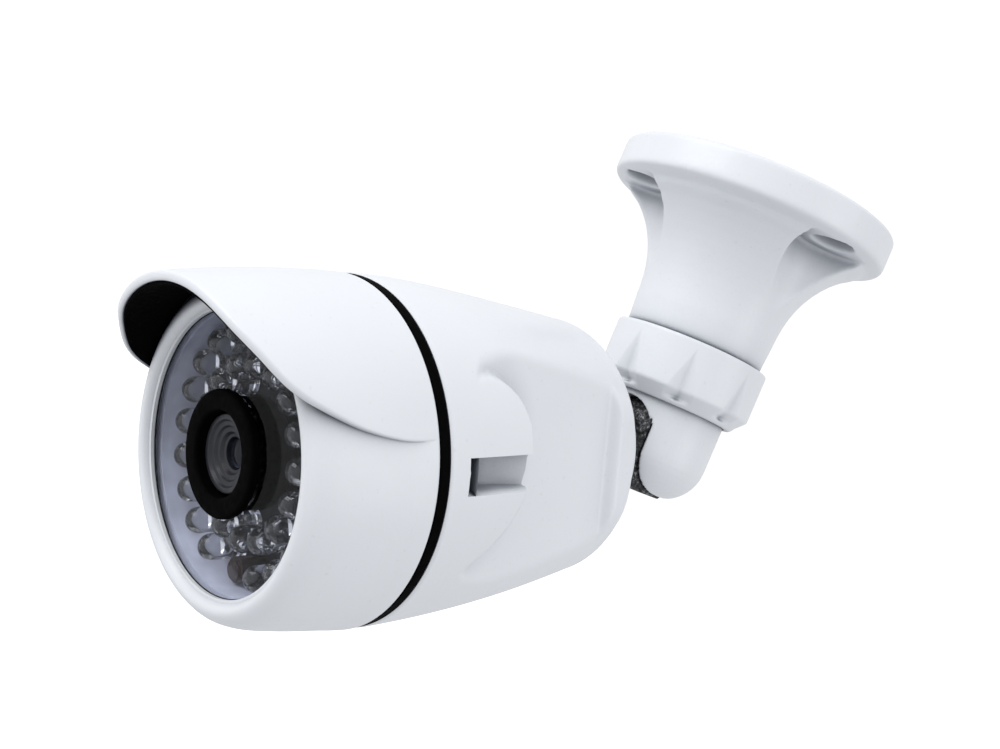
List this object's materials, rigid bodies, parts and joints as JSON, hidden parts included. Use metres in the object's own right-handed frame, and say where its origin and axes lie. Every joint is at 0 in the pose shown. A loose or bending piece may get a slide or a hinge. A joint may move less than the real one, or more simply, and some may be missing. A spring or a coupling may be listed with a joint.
{
  "type": "security camera",
  "caption": "Bullet security camera with a sun hood, a ring of infrared lamps round the lens and a three-way bracket on a round flange.",
  "frame": {"origin": "centre of the screw circle on the bracket's mounting face", "axes": "+Z out of the mounting face, toward the ceiling or wall it is screwed to; the tilt pin lies along X and the camera looks toward -Y, nose down"},
  "size_m": [0.067, 0.1659, 0.1276],
  "materials": {
    "white_paint": "satin powder coat",
    "rubber_black": "matte",
    "raw_casting": "rough unpainted casting",
    "screw_steel": "machined",
    "black_plastic": "matte",
    "grey_plastic": "satin",
    "window_glass": "polished",
    "lamp_epoxy": "clear water-white epoxy",
    "sensor_epoxy": "dark epoxy",
    "lens_glass": "coated glass",
    "filter_glass": "coated glass",
    "lamp_board_black": "black solder mask",
    "board_green": "green solder mask",
    "spacer_brass": "machined",
    "chip_black": "moulded",
    "capacitor_case": "printed sleeve without lettering",
    "header_nylon": "natural nylon"
  },
  "bodies": {
    "base": {"mounting_base": "white_paint"},
    "collar": {"locking_collar": "white_paint"},
    "fork": {"fork_head": "white_paint", "tilt_screw": "screw_steel"},
    "tail": {"tail_tongue": "raw_casting", "tail_seal_washer": "rubber_black", "stud_washer": "screw_steel", "stud_nut": "screw_steel"},
    "camera": {"rear_housing": "white_paint", "housing_screws": "screw_steel", "housing_gasket": "rubber_black", "front_housing": "white_paint", "hood_lining": "black_plastic", "window_gasket": "rubber_black", "front_window": "window_glass", "window_spacer": "grey_plastic", "board_retainer": "black_plastic", "lamp_board": "lamp_board_black", "outer_ir_lamps": "lamp_epoxy", "inner_ir_lamps": "lamp_epoxy", "light_sensor": "sensor_epoxy", "lens_shade": "rubber_black", "lens_barrel": "black_plastic", "lens_front_element": "lens_glass", "lens_locknut": "black_plastic", "lens_holder": "black_plastic", "ir_cut_filter": "filter_glass", "image_sensor": "chip_black", "sensor_board": "board_green", "holder_screws": "screw_steel", "front_spacers": "spacer_brass", "rear_spacers": "spacer_brass", "board_screws": "screw_steel", "main_board": "board_green", "processor_chip": "chip_black", "power_inductor": "chip_black", "smoothing_capacitors": "capacitor_case", "cable_header": "header_nylon"}
  },
  "joints": [
    {"name": "collar_turn", "type": "hinge", "parent": "base", "child": "collar", "pos_m": [0, 0, -0.048], "axis": [0, 0, 1], "range_deg": [-180, 0]},
    {"name": "pan_turn", "type": "hinge", "parent": "base", "child": "fork", "pos_m": [0, 0, -0.05], "axis": [0, 0, 1], "range_deg": [-180, 180]},
    {"name": "tilt", "type": "hinge", "parent": "fork", "child": "tail", "pos_m": [0, 0, -0.063], "axis": [1, 0, 0], "range_deg": [-18, 72]},
    {"name": "body_roll", "type": "hinge", "parent": "tail", "child": "camera", "pos_m": [0, 0, -0.063], "axis": [0, -0.9511, -0.309], "range_deg": [-180, 180]}
  ]
}
